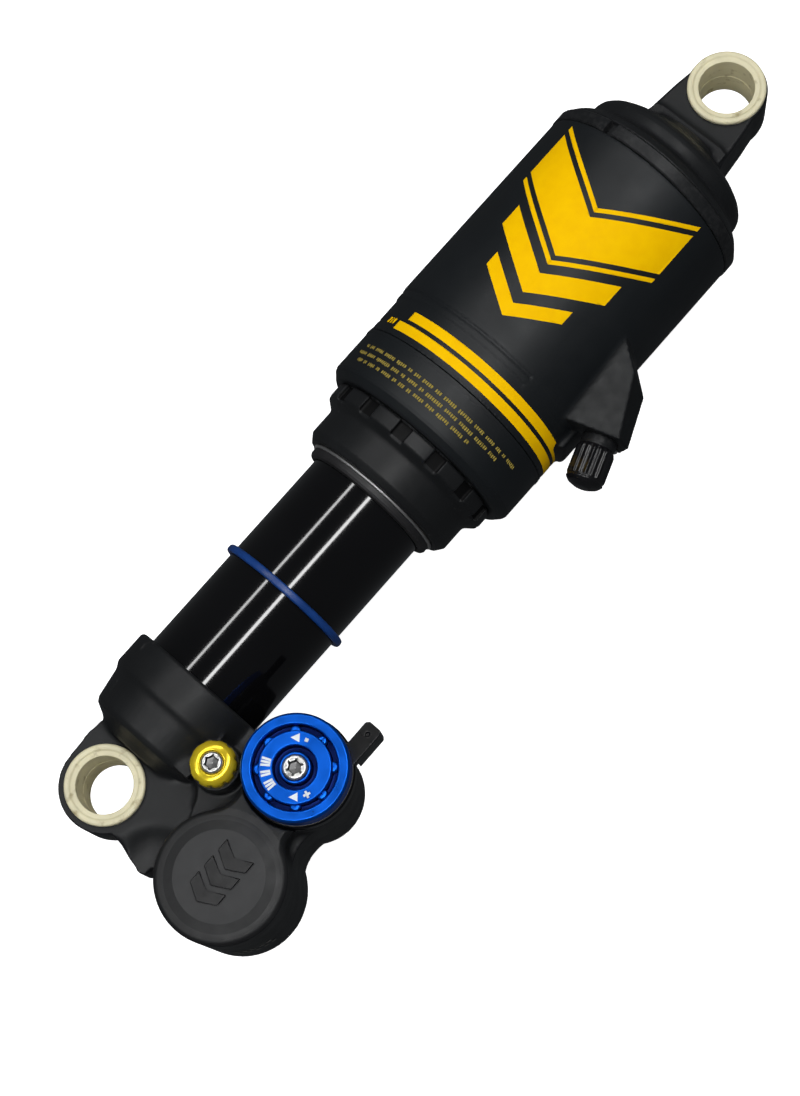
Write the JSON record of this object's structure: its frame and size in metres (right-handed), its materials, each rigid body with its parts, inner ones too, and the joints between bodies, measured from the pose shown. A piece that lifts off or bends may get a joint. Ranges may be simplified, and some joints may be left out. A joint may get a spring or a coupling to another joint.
{
  "type": "rear air shock absorber",
  "caption": "Air-sprung damper with two eyelets, a piggyback reservoir with adjuster knobs, a black air can and a sag ring on its stanchion.",
  "frame": {"origin": "centre of the lower (reservoir end) eyelet's bore, in the middle of its width", "axes": "+X along the shock from the lower to the upper eyelet, +Z along both eyelet bores towards the adjuster knobs, +Y away from the reservoir"},
  "size_m": [0.2316, 0.0742, 0.052],
  "materials": {
    "matte_black_anodise": "matte black anodised",
    "cap_grey_anodise": "matte charcoal anodised",
    "lever_black": "satin black anodised",
    "gloss_black_coating": "polished black hard coating",
    "blue_anodise": "satin blue anodised",
    "gold_anodise": "bright gold anodised",
    "blue_rubber": "satin blue",
    "cream_polymer": "satin cream",
    "black_rubber": "matte",
    "bearing_polymer": "bronze-filled, matte",
    "cap_plastic": "gloss black",
    "spacer_plastic": "matte red",
    "steel": "bright",
    "chromed_steel": "polished",
    "machined_aluminium": "machined",
    "brass": "machined"
  },
  "bodies": {
    "head": {"head_casting": "matte_black_anodise", "lower_bush_front": "cream_polymer", "lower_bush_rear": "cream_polymer", "stanchion_tube": "gloss_black_coating", "inner_damper_tube": "machined_aluminium", "damper_seal_head": "machined_aluminium", "shaft_seal": "black_rubber", "air_piston": "machined_aluminium", "air_piston_seal": "black_rubber", "air_piston_guide_band": "bearing_polymer", "reservoir_cap": "cap_grey_anodise", "reservoir_cap_seal": "black_rubber", "gas_charge_screw": "steel", "compression_cartridge": "machined_aluminium", "compression_valve_plate": "machined_aluminium", "compression_valve_shims": "steel", "compression_valve_nut": "machined_aluminium", "detent_balls": "steel", "detent_springs": "steel", "rebound_cartridge": "machined_aluminium"},
    "air_can": {"air_can": "matte_black_anodise", "air_can_seal_head": "matte_black_anodise", "wiper_seal": "black_rubber", "wiper_wire": "steel", "guide_bush": "bearing_polymer", "main_air_seal": "black_rubber", "top_out_bumper": "black_rubber", "lower_sleeve": "matte_black_anodise", "main_sleeve": "matte_black_anodise", "sleeve_lock_ring": "matte_black_anodise", "sleeve_seals": "black_rubber", "sleeve_seal_carrier": "machined_aluminium", "top_cap": "matte_black_anodise", "upper_bush_front": "cream_polymer", "upper_bush_rear": "cream_polymer", "damper_shaft": "chromed_steel", "main_piston": "machined_aluminium", "piston_band": "bearing_polymer", "rebound_shim_stack": "steel", "compression_shim_stack": "steel", "piston_nut": "machined_aluminium", "bottom_out_bumper": "black_rubber", "volume_spacer": "spacer_plastic", "valve_stem": "matte_black_anodise", "valve_core": "brass", "valve_spring": "steel", "port_plug_screw": "steel"},
    "sag_ring": {"sag_ring": "blue_rubber"},
    "floating_piston": {"floating_piston": "machined_aluminium", "floating_piston_seal": "black_rubber"},
    "lsc_knob": {"lsc_knob": "blue_anodise", "lsc_knob_screw": "steel", "lsc_needle": "brass"},
    "hsc_lever": {"hsc_lever": "lever_black"},
    "rebound_knob": {"rebound_knob": "gold_anodise", "rebound_knob_screw": "steel", "rebound_needle": "brass"},
    "valve_cap": {"valve_cap": "cap_plastic"},
    "valve_pin": {"valve_pin": "brass"}
  },
  "joints": [
    {"name": "stroke", "type": "slide", "parent": "head", "child": "air_can", "axis": [-1, 0, 0], "range_m": [0, 0.05], "stiffness_N_per_m": 20000, "springref_m": -0.006},
    {"name": "sag_ring_slide", "type": "slide", "parent": "head", "child": "sag_ring", "axis": [-1, 0, 0], "range_m": [0, 0.0249]},
    {"name": "floating_piston_slide", "type": "slide", "parent": "head", "child": "floating_piston", "axis": [0, 0, -1], "range_m": [0, 0.00783]},
    {"name": "lsc_knob_turn", "type": "hinge", "parent": "head", "child": "lsc_knob", "pos_m": [0.0296, -0.0316, 0.0173], "axis": [0, 0, 1], "range_deg": [-270, 270]},
    {"name": "hsc_lever_turn", "type": "hinge", "parent": "head", "child": "hsc_lever", "pos_m": [0.0296, -0.0316, 0.0127], "axis": [0, 0, 1], "range_deg": [-40, 40]},
    {"name": "rebound_knob_turn", "type": "hinge", "parent": "head", "child": "rebound_knob", "pos_m": [0.0189, -0.0171, 0.016], "axis": [0, 0, 1], "range_deg": [-360, 360]},
    {"name": "valve_cap_pull", "type": "slide", "parent": "air_can", "child": "valve_cap", "axis": [-0.9405, -0.3398, 0], "range_m": [0, 0.012]},
    {"name": "valve_pin_press", "type": "slide", "parent": "air_can", "child": "valve_pin", "axis": [0.9405, 0.3398, 0], "range_m": [0, 0.001], "stiffness_N_per_m": 800, "springref_m": -0.0005}
  ],
  "couplings": [
    {"joint": "sag_ring_slide", "follows": "stroke", "ratio": 0.498},
    {"joint": "floating_piston_slide", "follows": "stroke", "ratio": 0.15668}
  ]
}
